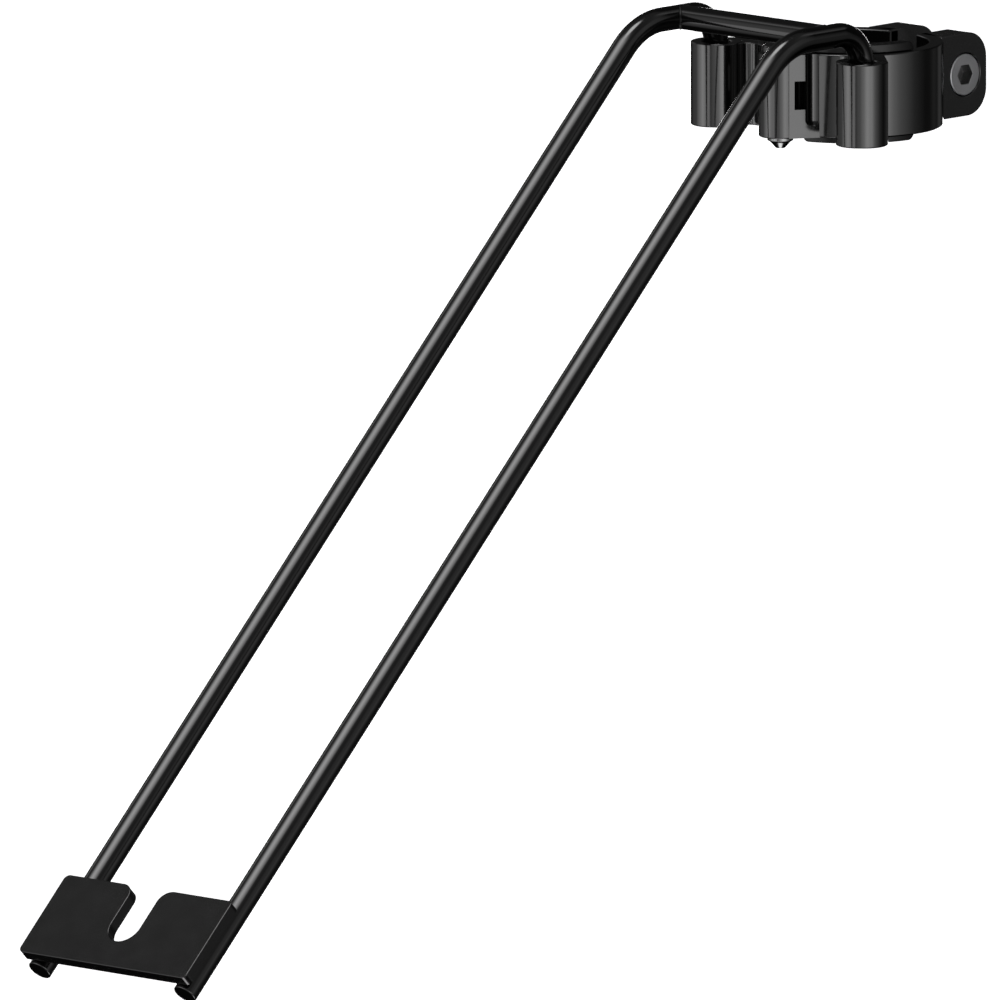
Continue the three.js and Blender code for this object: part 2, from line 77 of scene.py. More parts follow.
LINER_R, LINER_LIP_R, LINER_MIDDLE_R = 30.0, 35.0, 32.5
LINER_TOP_LIP, LINER_LOW_LIP, LINER_CORNER_R, LINER_LOW_CORNER = 3.5, 2.2, 2.4, 1.6
LINER_START_X, LINER_END_Y, LINER_END_R = 5.0, -0.4, 33.0
LINER_LIFT, LINER_GAP = 0.3, 0.15           # what raises the lips, and the gap that is left under them
ROD_R, ROD_TOP_Z, ROD_FOOT_Z = 5.0, 29.2, -15.5
HOOK_BEND_R, KNEE_Y, KNEE_BEND_R = 14.5, -81.8, 32.0
SLOPE, SLOPE_LENGTH = math.radians(44.4), 489.0
CROSS_ROD_Y, CROSS_ROD_IN_ROD = -58.0, 2.5
CROSS_BEAD_R, CROSS_BEAD_OFF = 0.55, 0.15
PLATE_WIDTH, PLATE_LENGTH, PLATE_THICKNESS, PLATE_CORNER_R = 92.0, 39.3, 5.0, 2.5
PLATE_TO_ROD_END = 1.2
SLOT_WIDTH, SLOT_DEPTH, SLOT_MOUTH_R = 15.6, 27.1, 6.0
PLATE_BEAD_R, PLATE_BEAD_LENGTH, PLATE_BEAD_IN, PLATE_BEAD_UNDER = 1.35, 29, 4.9, 1.1

DOWN_SLOPE = Vector((0, -math.cos(SLOPE), -math.sin(SLOPE)))
OFF_RODS = Vector((0, -math.sin(SLOPE), math.cos(SLOPE)))


# ---------- materials ----------

def noise(tree, coords, scale, detail=3.0, stretch=None):
    """A noise pattern in the piece's own metres, stretched along axes if asked."""
    mapping = tree.nodes.new("ShaderNodeMapping")
    mapping.inputs["Scale"].default_value = stretch or (1, 1, 1)
    tree.links.new(coords, mapping.inputs["Vector"])
    texture = tree.nodes.new("ShaderNodeTexNoise")
    texture.inputs["Scale"].default_value = scale
    texture.inputs["Detail"].default_value = detail
    tree.links.new(mapping.outputs["Vector"], texture.inputs["Vector"])
    return texture.outputs["Fac"]


def spread(tree, value, low, high):
    """Maps a noise value onto a range of numbers."""
    node = tree.nodes.new("ShaderNodeMapRange")
    node.inputs["From Min"].default_value = 0.3
    node.inputs["From Max"].default_value = 0.7
    node.inputs["To Min"].default_value = low
    node.inputs["To Max"].default_value = high
    tree.links.new(value, node.inputs["Value"])
    return node.outputs["Result"]


def coat(name, dark, light, roughness, grain, grain_depth, streaks=None, metallic=0.0, ior=1.52):
    """A painted, rubber or steel finish: patchy colour and roughness, fine grain, optional drawn streaks."""
    material = bpy.data.materials.new(name)
    material.use_nodes = True
    tree = material.node_tree
    shader = tree.nodes["Principled BSDF"]
    shader.inputs["Metallic"].default_value = metallic
    shader.inputs["IOR"].default_value = ior
    coords = tree.nodes.new("ShaderNodeTexCoord").outputs["Object"]

    tint = tree.nodes.new("ShaderNodeMix")
    tint.data_type = "RGBA"
    tint.inputs["A"].default_value = (*dark, 1)
    tint.inputs["B"].default_value = (*light, 1)
    tree.links.new(spread(tree, noise(tree, coords, 45.0, 4.0), 0.0, 1.0), tint.inputs["Factor"])
    tree.links.new(tint.outputs["Result"], shader.inputs["Base Color"])

    patches = spread(tree, noise(tree, coords, 110.0, 5.0), roughness[0], roughness[1])
    tree.links.new(patches, shader.inputs["Roughness"])

    fine = tree.nodes.new("ShaderNodeBump")
    fine.inputs["Distance"].default_value = grain_depth * MM
    fine.inputs["Strength"].default_value = 1.0
    tree.links.new(noise(tree, coords, grain, 2.0), fine.inputs["Height"])
    normal = fine.outputs["Normal"]
    if streaks:
        drawn = tree.nodes.new("ShaderNodeBump")
        drawn.inputs["Distance"].default_value = streaks[1] * MM
        drawn.inputs["Strength"].default_value = 1.0
        tree.links.new(noise(tree, coords, 1.0, 3.0, streaks[0]), drawn.inputs["Height"])
        tree.links.new(normal, drawn.inputs["Normal"])
        normal = drawn.outputs["Normal"]
    tree.links.new(normal, shader.inputs["Normal"])
    return material


CLAMP_PAINT = coat("clamp_paint", (0.005,) * 3, (0.008,) * 3, (0.09, 0.13), 1500.0, 0.0012,
                   streaks=((900, 900, 12), 0.0035))
ROD_PAINT = coat("rod_paint", (0.003,) * 3, (0.005,) * 3, (0.09, 0.13), 1300.0, 0.0012)
EAR_PAINT = coat("ear_paint", (0.013,) * 3, (0.017,) * 3, (0.17, 0.22), 2600.0, 0.002)
PLATE_PAINT = coat("plate_paint", (0.007,) * 3, (0.010,) * 3, (0.17, 0.22), 2400.0, 0.002)
LINER_RUBBER = coat("liner_rubber", (0.006,) * 3, (0.010,) * 3, (0.20, 0.28), 1800.0, 0.004, ior=1.26)
BOLT_STEEL = coat("bolt_steel", (0.33, 0.33, 0.34), (0.40, 0.40, 0.41), (0.36, 0.46), 2200.0, 0.002,
                  metallic=1.0)
# A darker steel than the bolt's, for the walls and floor of the key socket in its head: painted shade inside
# the socket.
KEY_SOCKET_SHADE_STEEL = coat("key_socket_painted_shade", (0.17,) * 3, (0.23,) * 3, (0.34, 0.44), 2200.0, 0.003, metallic=1.0)
PIN_STEEL = coat("pin_steel", (0.11,) * 3, (0.15,) * 3, (0.14, 0.20), 1800.0, 0.002, metallic=1.0)
# Near-black, dull paint for the walls of the window through the hinge web: painted shade, standing in for the
# dark inside of the window.
WINDOW_SHADE_PAINT = coat("window_painted_shade", (0.0015,) * 3, (0.003,) * 3, (0.5, 0.6), 2600.0, 0.004, ior=1.15)
WELD_PAINT = coat("weld_paint", (0.004,) * 3, (0.007,) * 3, (0.30, 0.40), 900.0, 0.02, ior=1.3)


# ---------- mesh helpers ----------

def arc(cx, cy, radius, start, end, steps):
    """Points on an arc, both ends included; angles in degrees."""
    points = []
    for i in range(steps + 1):
        angle = math.radians(start + (end - start) * i / steps)
        points.append((cx + radius * math.cos(angle), cy + radius * math.sin(angle)))
    return points


def rounded(points, radius, steps=4):
    """A closed outline with every corner rounded; radius is one number or one for each corner."""
    radii = radius if isinstance(radius, (list, tuple)) else [radius] * len(points)
    out = []
    count = len(points)
    for i, r in enumerate(radii):
        here = Vector(points[i])
        before = (Vector(points[i - 1]) - here).normalized()
        after = (Vector(points[(i + 1) % count]) - here).normalized()
        half = before.angle(after) / 2
        if r <= 0 or half > math.radians(88):
            out.append(tuple(here))
            continue
        reach = r / math.tan(half)
        centre = here + (before + after).normalized() * (r / math.sin(half))
        start, end = here + before * reach - centre, here + after * reach - centre
        turn = start.angle_signed(end)
        for k in range(steps + 1):
            angle = -turn * k / steps
            c, s = math.cos(angle), math.sin(angle)
            out.append((centre.x + c * start.x - s * start.y, centre.y + s * start.x + c * start.y))
    return out


def smooth_faces(bm, sharp=SHARP_ANGLE):
    """Shades every face smooth and marks the edges at real corners as sharp."""
    for edge in bm.edges:
        edge.smooth = len(edge.link_faces) == 2 and edge.calc_face_angle(math.pi) < math.radians(sharp)
    for face in bm.faces:
        face.smooth = True


def to_object(name, bm, material, sharp=SHARP_ANGLE):
    """Makes an object from a bmesh in millimetres, with smooth faces and its real corners kept sharp."""
    bmesh.ops.remove_doubles(bm, verts=bm.verts, dist=1e-4)
    bmesh.ops.recalc_face_normals(bm, faces=bm.faces)
    bmesh.ops.scale(bm, vec=(MM, MM, MM), verts=bm.verts)
    smooth_faces(bm, sharp)
    mesh = bpy.data.meshes.new(name)
    bm.to_mesh(mesh)
    bm.free()
    mesh.materials.append(material)
    piece = bpy.data.objects.new(name, mesh)
    bpy.context.scene.collection.objects.link(piece)
    return piece


def add_rings(bm, rings, closed=False):
    """Joins rings of points into a skin; the ends are capped unless the rings close on themselves."""
    loops = [[bm.verts.new(point) for point in ring] for ring in rings]
    pairs = list(zip(loops, loops[1:]))
    if closed:
        pairs.append((loops[-1], loops[0]))
    count = len(loops[0])
    for a, b in pairs:
        for i in range(count):
            j = (i + 1) % count
            bm.faces.new((a[i], a[j], b[j], b[i]))
    if not closed:
        bm.faces.new(loops[0])
        bm.faces.new(loops[-1])


def extruded(name, outline, low, high, material, place=lambda x, y, z: (x, y, z)):
    """A prism over an outline, from one height to another."""
    bm = bmesh.new()
    add_rings(bm, [[place(x, y, z) for x, y in outline] for z in (low, high)])
    return to_object(name, bm, material)


def turned(name, profile, material, place, sides=128):
    """A closed profile of (radius, height) turned round an axis; points on the axis make solid ends."""
    bm = bmesh.new()
    count = len(profile)
    rings = []
    for radius, height in profile:
        if radius < 1e-6:
            rings.append([bm.verts.new(place(0, 0, height))])
            continue
        turns = [2 * math.pi * k / sides for k in range(sides)]
        rings.append([bm.verts.new(place(radius * math.cos(t), radius * math.sin(t), height)) for t in turns])
    for i in range(count):
        a, b = rings[i], rings[(i + 1) % count]
        if len(a) == 1 and len(b) == 1:
            continue
        for k in range(sides):
            j = (k + 1) % sides
            corners = list(dict.fromkeys([a[k % len(a)], a[j % len(a)], b[j % len(b)], b[k % len(b)]]))
            if len(corners) >= 3:
                bm.faces.new(corners)
    return to_object(name, bm, material)


def cylinder(name, radius, low, high, material, place):
    """A plain cylinder, to cut a round hole or room with."""
    return turned(name, [(0, low), (radius, low), (radius, high), (0, high)], material, place)


def about_z(cx, cy):
    """Places a turned shape on an upright axis."""
    return lambda a, b, h: (cx + a, cy + b, h)


def about_x(cy, cz=0.0):
    """Places a turned shape on an axis that runs across the arm."""
    return lambda a, b, h: (h, cy + a, cz + b)


def along_x(a, b, h):
    """Places an outline in the YZ plane and its height along X."""
    return (h, a, b)


def bevel(piece, width, segments=3, angle=SHARP_ANGLE):
    """Rounds the piece's real corners, so that they catch a thin highlight."""
    modifier = piece.modifiers.new("rounded_edges", "BEVEL")
    modifier.width = width * MM
    modifier.segments = segments
    modifier.limit_method = "ANGLE"
    modifier.angle_limit = math.radians(angle)
    modifier.miter_outer = "MITER_ARC"
    modifier.use_clamp_overlap = True
    modifier.harden_normals = True
    return piece


def even_normals(piece):
    """Keeps flat faces flat next to rounded edges."""
    modifier = piece.modifiers.new("even_normals", "WEIGHTED_NORMAL")
    modifier.keep_sharp = True
    modifier.weight = 80
    return piece


def apply_modifiers(piece):
    """Makes the piece's modifiers part of its mesh."""
    graph = bpy.context.evaluated_depsgraph_get()
    mesh = bpy.data.meshes.new_from_object(piece.evaluated_get(graph))
    old = piece.data
    piece.modifiers.clear()
    piece.data = mesh
    bpy.data.meshes.remove(old)
    mesh.name = piece.name
    return piece


def cut(piece, *cutters):
    """Takes the cutters' shapes out of the piece, walls in the cutters' material, and removes the cutters."""
    for cutter in cutters:
        modifier = piece.modifiers.new("cut", "BOOLEAN")
        modifier.operation = "DIFFERENCE"
        modifier.solver = "EXACT"
        modifier.material_mode = "TRANSFER"
        modifier.object = cutter
    apply_modifiers(piece)
    for cutter in cutters:
        bpy.data.objects.remove(cutter)
    bm = bmesh.new()
    bm.from_mesh(piece.data)
    bmesh.ops.remove_doubles(bm, verts=bm.verts, dist=2e-6)
    bmesh.ops.dissolve_limit(bm, angle_limit=math.radians(0.4), verts=bm.verts, edges=bm.edges)
    smooth_faces(bm)
    bm.to_mesh(piece.data)
    bm.free()
    return piece


def mirror_x(piece, name):
    """A mirrored copy across the YZ plane."""
    mesh = piece.data.copy()
    mesh.name = name
    bm = bmesh.new()
    bm.from_mesh(mesh)
    for vert in bm.verts:
        vert.co.x = -vert.co.x
    bmesh.ops.reverse_faces(bm, faces=bm.faces)
    bm.to_mesh(mesh)
    bm.free()
    copy = bpy.data.objects.new(name, mesh)
    bpy.context.scene.collection.objects.link(copy)
    for modifier in piece.modifiers:
        new = copy.modifiers.new(modifier.name, modifier.type)
        for prop in modifier.bl_rna.properties:
            if not prop.is_readonly and prop.identifier not in ("name", "type"):
                setattr(new, prop.identifier, getattr(modifier, prop.identifier))
    return copy


def stand_for(piece, node, body):
    """Lets the piece move with its body and take the place of its CAD node, which is hidden."""
    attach(piece, body)
    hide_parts(node)


# ---------- clamp halves ----------

def band_outline():
    """The right half of the band: from the hinge opening round the front, and back to the ear."""
    outer_start = math.degrees(math.asin(HINGE_GAP_X / BAND_R)) - 90
    inner_start = math.degrees(math.asin(HINGE_GAP_X / BORE_R)) - 90
    outer_end = math.degrees(math.acos(EAR_INNER_X / BAND_R))
    inner_end = math.degrees(math.acos(EAR_INNER_X / BORE_R))
    outer = arc(0, 0, BAND_R, outer_start, outer_end, 96)
    return outer + arc(0, 0, BORE_R, inner_end, inner_start, 96)


def arm_outline():
    """The web between the band and the socket, ending inside the walls of both."""
    centre = Vector((SOCKET_X, SOCKET_Y))
    along = centre.normalized()
    across = Vector((-along.y, along.x)) * SOCKET_R
    hollow = arc(ARM_HOLLOW_X, ARM_HOLLOW_Y, ARM_HOLLOW_R, ARM_HOLLOW_START, ARM_HOLLOW_END, 16)
    in_wall = arc(SOCKET_X, SOCKET_Y, ARM_END_R, ARM_END_FRONT, ARM_END_BACK, 24)
    back = [tuple(along * centre.length + across), tuple(along * (BORE_R + ARM_BACK_IN_BAND) + across)]
    return hollow + in_wall + back + [ARM_IN_BAND]


def ear_outline():
    """The ear seen along X: its inner end lies inside the band's wall."""
    lower = arc(EAR_END_Y - EAR_CORNER_R, -TOP + EAR_CORNER_R, EAR_CORNER_R, -90, 0, 20)
    upper = arc(EAR_END_Y - EAR_CORNER_R, TOP - EAR_CORNER_R, EAR_CORNER_R, 0, 90, 20)
    return [(EAR_ROOT_Y, -TOP)] + lower + upper + [(EAR_ROOT_Y, TOP)]


def bolt_recess():
    """The countersunk hole, with clearance round the bolt."""
    head, shank = BOLT_HEAD_R + CLEARANCE, BOLT_R + CLEARANCE
    profile = [(0, EAR_INNER_X - PAST), (shank, EAR_INNER_X - PAST), (shank, BOLT_SEAT_X),
               (head, EAR_OUTER_X - BOLT_RIM), (head, EAR_OUTER_X + PAST), (0, EAR_OUTER_X + PAST)]
    return turned("bolt_recess", profile, EAR_PAINT, about_x(BOLT_Y))


def socket_tube():
    """A short tube with a wider rounding at its bore's upper rim."""
    corners = [(SOCKET_BORE_R, -TOP), (SOCKET_R, -TOP), (SOCKET_R, TOP), (SOCKET_BORE_R, TOP)]
    profile = rounded(corners, [SOCKET_EDGE_R, SOCKET_EDGE_R, SOCKET_EDGE_R, SOCKET_RIM_R], 4)
    return even_normals(turned("socket_right", profile, CLAMP_PAINT, about_z(SOCKET_X, SOCKET_Y)))


def both_halves(right_piece, left_name, node):
    """Gives the right half of the clamp a piece, and the left half its mirrored copy."""
    left_piece = mirror_x(right_piece, left_name)
    stand_for(right_piece, node + "_right", "clamp_right")
    stand_for(left_piece, node + "_left", "clamp_left")


band = extruded("band_right", band_outline(), -TOP, TOP, CLAMP_PAINT)
even_normals(bevel(band, 0.7))
arm = extruded("socket_arm_right", arm_outline(), -TOP + ARM_LOWER, TOP - ARM_LOWER, CLAMP_PAINT)
even_normals(bevel(arm, 0.4))
socket = socket_tube()
both_halves(band, "band_left", "clamp_band")
both_halves(arm, "socket_arm_left", "socket_arm")
both_halves(socket, "socket_left", "socket_tube")

ear = cut(extruded("ear_right", ear_outline(), EAR_INNER_X, EAR_OUTER_X, EAR_PAINT, along_x), bolt_recess())
even_normals(bevel(ear, 0.45))
stand_for(ear, "clamp_ear_right", "clamp_right")


def hex_bar(name, flats, low, high, material):
    """A six-sided bar on the bolt's axis, by its size across flats."""
    outline = [(BOLT_Y + y, z) for y, z in arc(0, 0, flats / math.sqrt(3), 0, 300, 5)]
    return extruded(name, outline, low, high, material, along_x)


left_hole = cylinder("left_hole", LEFT_HOLE_R, -EAR_OUTER_X - PAST, -EAR_INNER_X + PAST, EAR_PAINT,
                     about_x(BOLT_Y))
nut_pocket = hex_bar("nut_pocket", NUT_POCKET_FLATS, -EAR_OUTER_X - PAST, -EAR_OUTER_X + NUT_POCKET_DEPTH,
                     EAR_PAINT)
left_ear = cut(extruded("ear_left", ear_outline(), -EAR_OUTER_X, -EAR_INNER_X, EAR_PAINT, along_x),
               left_hole, nut_pocket)
even_normals(bevel(left_ear, 0.45))
stand_for(left_ear, "clamp_ear_left", "clamp_left")


# ---------- liner ----------

def liner():
    """The lining of the front half of the bore, with a lip over each end of the band and rounded ends."""
    outer, inner, lip, corner = BORE_R - 0.1, LINER_R, LINER_LIP_R, LINER_CORNER_R
    face = TOP + LINER_GAP
    start = math.degrees(math.asin(LINER_START_X / inner)) - 90
    end = math.degrees(math.asin(LINER_END_Y / LINER_END_R))
    length = math.radians(end - start) * LINER_MIDDLE_R
    near_end = [0, 0.08, 0.3, 0.7, 1.2, 1.7, 2.2]
    last, steps = near_end[-1], 60
    stations = near_end + [last + (length - 2 * last) * k / steps for k in range(1, steps)]
    stations += [length - s for s in reversed(near_end)]
    rings = []
    for s in stations:
        edge = min(s, length - s, corner)
        drop = corner - math.sqrt(max(corner ** 2 - (corner - edge) ** 2, 0.0))
        high = TOP + LINER_LIFT + LINER_TOP_LIP - drop
        low = -TOP - LINER_LIFT - LINER_LOW_LIP + min(drop, LINER_LOW_CORNER)
        corners = [(inner, low), (lip, low), (lip, -face), (outer, -face),
                   (outer, face), (lip, face), (lip, high), (inner, high)]
        section = rounded(corners, [0.5, 0.35, 0.3, 0.1, 0.1, 0.3, 0.6, 0.6], 3)
        angle = math.radians(start) + s / LINER_MIDDLE_R
        rings.append([(r * math.cos(angle), r * math.sin(angle), z) for r, z in section])
    bm = bmesh.new()
    add_rings(bm, rings)
    return even_normals(to_object("liner_right", bm, LINER_RUBBER))


both_halves(liner(), "liner_left", "clamp_liner")


# ---------- hinge ----------

def on_web(distance, depth):
    """A point in plan, some way along the web's face and some way in from it."""
    along = (WEB_END - WEB_START).normalized()
    inward = Vector((-along.y, along.x))
    point = WEB_START + along * distance + inward * depth
    return (point.x, point.y)


def window(name):
    """The small opening through the web into the barrel, in front of the tongue. Its walls take a near-black,
    dull paint: painted shade for the window's dark inside.
    """
    outline = [on_web(WINDOW_NEAR, -PAST), on_web(WINDOW_FAR, -PAST),
               on_web(WINDOW_FAR, WINDOW_DEPTH), on_web(WINDOW_NEAR, WINDOW_DEPTH)]
    return extruded(name, outline, TONGUE_LOW, TONGUE_HIGH, WINDOW_SHADE_PAINT)


def hinge_barrel():
    """The full-height barrel, with room inside for the tongue and its eye."""
    bore, front, reach = PIN_R + CLEARANCE, HINGE_Y - 0.5, 10
    corners = [(bore, -TOP), (HINGE_R, -TOP), (HINGE_R, TOP), (bore, TOP)]
    barrel = turned("hinge_barrel_body", rounded(corners, [0.4, 0.55, 0.55, 0.6], 4), CLAMP_PAINT,
                    about_z(0, HINGE_Y))
    eye_room = cylinder("eye_room", EYE_R + CLEARANCE, TONGUE_LOW, TONGUE_HIGH, CLAMP_PAINT,
                        about_z(0, HINGE_Y))
    left_outline = [(0, front), (0, HINGE_Y + reach), (-reach, HINGE_Y + reach), (-reach, front)]
    left_room = extruded("left_room", left_outline, TONGUE_LOW, TONGUE_HIGH, CLAMP_PAINT)
    return even_normals(cut(barrel, eye_room, left_room, window("window_a")))


def hinge_web():
    """The web from the barrel to the band, with its window and its round-bottomed recess."""
    start = WEB_START - (WEB_END - WEB_START).normalized() * WEB_INTO_BARREL
    outline = [tuple(start), tuple(WEB_END)] + WEB_ROOT
    web = extruded("hinge_web_body", outline, -TOP + WEB_LOWER, TOP - WEB_LOWER, CLAMP_PAINT)
    distance = BAND_R + RECESS_R
    corners = [(0, RECESS_FLOOR), (RECESS_R, RECESS_FLOOR), (RECESS_R, TOP + PAST), (0, TOP + PAST)]
    recess = turned("recess", rounded(corners, [0, RECESS_ROUND, 0, 0], 10), CLAMP_PAINT,
                    about_z(distance * math.cos(RECESS_AZIMUTH), distance * math.sin(RECESS_AZIMUTH)))
    barrel_room = cylinder("barrel_room", HINGE_R - 0.6, -TOP - PAST, TOP + PAST, CLAMP_PAINT,
                           about_z(0, HINGE_Y))
    return even_normals(bevel(cut(web, recess, window("window_b"), barrel_room), 0.25, 2))


def hinge_tongue():
    """The left half's tongue, ending in an eye round the pin."""
    outline = [(-EYE_R * 0.98, HINGE_Y + 1.4)] + TONGUE_ROOT + arc(0, HINGE_Y, EYE_R, 80, -170, 60)
    tongue = extruded("hinge_tongue_eye", outline, TONGUE_LOW + CLEARANCE, TONGUE_HIGH - CLEARANCE,
                      CLAMP_PAINT)
    pin_hole = cylinder("pin_hole", PIN_R + 0.2, -TOP, TOP, CLAMP_PAINT, about_z(0, HINGE_Y))
    return even_normals(bevel(cut(tongue, pin_hole), 0.3, 2))


stand_for(hinge_barrel(), "hinge_barrel", "clamp_right")
stand_for(hinge_web(), "hinge_web", "clamp_right")
stand_for(hinge_tongue(), "hinge_tongue", "clamp_left")

head_low = TOP + CLEARANCE
head_high = head_low + PIN_HEAD_HEIGHT
pin_points = [(0, PIN_TIP_Z), (1.9, PIN_TIP_Z), (4.3, PIN_TIP_Z + 2.5), (PIN_R, PIN_TIP_Z + 3.2),
              (PIN_R, head_low), (PIN_HEAD_R, head_low), (PIN_HEAD_R, head_high), (0, head_high)]
pin_profile = rounded(pin_points, [0, 0.5, 0.4, 0.3, 0.1, 0.25, 0.8, 0], 4)
pin = even_normals(turned("pin", pin_profile, PIN_STEEL, about_z(0, HINGE_Y)))
stand_for(pin, "hinge_pin", "hinge_pin")


# ---------- clamp bolt and nut ----------

tip_x = -EAR_OUTER_X + 0.5
bolt_points = [(0, tip_x), (BOLT_R - BOLT_TIP, tip_x), (BOLT_R, tip_x + BOLT_TIP), (BOLT_R, BOLT_SEAT_X),
               (BOLT_HEAD_R, EAR_OUTER_X - BOLT_RIM), (BOLT_HEAD_R, EAR_OUTER_X), (0, EAR_OUTER_X)]
bolt_profile = rounded(bolt_points, [0, 0.2, 0.2, 0.3, 0.15, 0.45, 0], 4)
# The key socket's walls and floor take the darker steel: painted shade inside the socket.
bolt = cut(turned("bolt", bolt_profile, BOLT_STEEL, about_x(BOLT_Y)),
           hex_bar("hex_socket", KEY_FLATS, EAR_OUTER_X - KEY_DEPTH, EAR_OUTER_X + PAST, KEY_SOCKET_SHADE_STEEL))
even_normals(bevel(bolt, 0.15, 2, 50))
stand_for(bolt, "clamp_bolt", "clamp_bolt")

nut_end = -EAR_OUTER_X + NUT_HEIGHT
nut = cut(hex_bar("nut", NUT_FLATS, -EAR_OUTER_X, nut_end, BOLT_STEEL),
          cylinder("nut_hole", NUT_HOLE_R, -EAR_OUTER_X - PAST, nut_end + PAST, BOLT_STEEL, about_x(BOLT_Y)))
even_normals(bevel(nut, 0.5))
stand_for(nut, "clamp_nut", "clamp_left")


# ---------- rod frame ----------

def rod_path():
    """Stations (y, z, heading) along the bent rod, from its foot in the socket to its lower end."""
    corners = [Vector((SOCKET_Y, ROD_FOOT_Z)), Vector((SOCKET_Y, ROD_TOP_Z)), Vector((KNEE_Y, ROD_TOP_Z))]
    slope = Vector((DOWN_SLOPE.y, DOWN_SLOPE.z))
    corners.append(corners[2] + slope * SLOPE_LENGTH)
    path = [(corners[0], (corners[1] - corners[0]).normalized())]
    for i, (radius, steps) in enumerate(((HOOK_BEND_R, 28), (KNEE_BEND_R, 24)), start=1):
        into = (corners[i] - corners[i - 1]).normalized()
        out = (corners[i + 1] - corners[i]).normalized()
        angle = into.angle(out)
        start = corners[i] - into * radius * math.tan(angle / 2)
        side = Vector((-into.y, into.x))
        if side.dot(out) < 0:
            side = -side
        centre = start + side * radius
        for k in range(steps + 1):
            turn = angle * k / steps
            path.append((centre - side * radius * math.cos(turn) + into * radius * math.sin(turn),
                         into * math.cos(turn) + side * math.sin(turn)))
    straight_start, straight_steps = path[-1][0], 40
    for k in range(1, straight_steps):
        path.append((straight_start.lerp(corners[3], k / straight_steps), slope))
    path.append((corners[3], slope))
    return path


def side_rod(name, x):
    """Round bar along the path, its two ends with a small rounded edge."""
    edge, sides = 0.5, 56
    path = rod_path()
    turns = [math.radians(a) for a in (0, 30, 60, 90)]
    rounding = [(edge * (1 - math.cos(t)), ROD_R - edge * (1 - math.sin(t))) for t in turns]
    (foot, foot_heading), (tip, tip_heading) = path[0], path[-1]
    stations = [(foot + foot_heading * inwards, foot_heading, radius) for inwards, radius in rounding]
    stations += [(point, heading, ROD_R) for point, heading in path[1:-1]]
    stations += [(tip - tip_heading * inwards, tip_heading, radius) for inwards, radius in reversed(rounding)]
    rings = []
    for point, heading, radius in stations:
        normal = Vector((-heading.y, heading.x))
        ring = []
        for k in range(sides):
            t = 2 * math.pi * k / sides
            offset = normal * radius * math.sin(t)
            ring.append((x + radius * math.cos(t), point.x + offset.x, point.y + offset.y))
        rings.append(ring)
    bm = bmesh.new()
    add_rings(bm, rings)
    return even_normals(to_object(name, bm, ROD_PAINT))


right_rod = side_rod("rod_right", SOCKET_X)
left_rod = side_rod("rod_left", -SOCKET_X)
stand_for(right_rod, "side_rod_right", "rod_frame")
stand_for(left_rod, "side_rod_left", "rod_frame")

cross_half, cross_steps = SOCKET_X - CROSS_ROD_IN_ROD, 12
cross_profile = [(0, -cross_half), (ROD_R, -cross_half)]
cross_profile += [(ROD_R, -cross_half + 2 * cross_half * k / cross_steps) for k in range(1, cross_steps)]
cross_profile += [(ROD_R, cross_half), (0, cross_half)]
cross = even_normals(turned("cross_bar", cross_profile, ROD_PAINT, about_x(CROSS_ROD_Y, ROD_TOP_Z), 72))
stand_for(cross, "cross_rod", "rod_frame")


def bead(name, path, radius, material, closed=False, sides=14):
    """A weld bead: a lumpy tube along a path of (point, size) pairs, with overlapping ripples."""
    count = len(path)
    rings = []
    side = None
    for i, (point, size) in enumerate(path):
        before = path[(i - 1) % count if closed else max(i - 1, 0)][0]
        after = path[(i + 1) % count if closed else min(i + 1, count - 1)][0]
        heading = (after - before).normalized()
        if side is None:
            side = heading.orthogonal().normalized()
        else:
            side = (side - heading * side.dot(heading)).normalized()
        up = heading.cross(side)
        ripple = 1 + 0.10 * abs(math.sin(i * 0.45)) + 0.04 * math.sin(i * 1.7)
        r = radius * size * ripple
        rings.append([tuple(point + side * r * math.cos(2 * math.pi * k / sides)
                            + up * r * math.sin(2 * math.pi * k / sides)) for k in range(sides)])
    bm = bmesh.new()
    add_rings(bm, rings, closed)
    return to_object(name, bm, material, 80.0)


def cross_bead(name, sign):
    """Follows the curve where the cross bar meets the side rod."""
    path = []
    count = 150
    for k in range(count):
        t = 2 * math.pi * k / count
        reach = ROD_R * abs(math.cos(t))
        point = Vector((sign * (SOCKET_X - reach - CROSS_BEAD_OFF), CROSS_ROD_Y + ROD_R * math.cos(t),
                        ROD_TOP_Z + ROD_R * math.sin(t)))
        path.append((point, 0.25 + 0.75 * abs(math.cos(t))))
    return bead(name, path, CROSS_BEAD_R, WELD_PAINT, closed=True)


stand_for(cross_bead("weld_cross_right", 1), "cross_weld_right", "rod_frame")
stand_for(cross_bead("weld_cross_left", -1), "cross_weld_left", "rod_frame")


# ---------- slotted plate ----------

plate_origin = Vector((0, KNEE_Y, ROD_TOP_Z)) + DOWN_SLOPE * (SLOPE_LENGTH - PLATE_TO_ROD_END)
plate_origin += OFF_RODS * ROD_R


def on_plate(x, y, z):
    """A point from across the plate, up its slope and off the rods."""
    return tuple(plate_origin + Vector((x, 0, 0)) - DOWN_SLOPE * y + OFF_RODS * z)


def plate_outline():
    """The plate's rounded corners and its U slot with a flared mouth."""
    half, r, slot, mouth = PLATE_WIDTH / 2, PLATE_CORNER_R, SLOT_WIDTH / 2, SLOT_MOUTH_R
    centre = PLATE_LENGTH - SLOT_DEPTH + slot
    points = arc(half - r, r, r, -90, 0, 10) + arc(half - r, PLATE_LENGTH - r, r, 0, 90, 10)
    points += arc(slot + mouth, PLATE_LENGTH - mouth, mouth, 90, 180, 18)
    points += arc(0, centre, slot, 0, -180, 40)
    points += arc(-slot - mouth, PLATE_LENGTH - mouth, mouth, 0, 90, 18)
    points += arc(-half + r, PLATE_LENGTH - r, r, 90, 180, 10) + arc(-half + r, r, r, 180, 270, 10)
    return points


plate = extruded("plate", plate_outline(), 0.25, 0.3 + PLATE_THICKNESS, PLATE_PAINT, on_plate)
even_normals(bevel(plate, 0.35))
stand_for(plate, "slot_plate", "rod_frame")


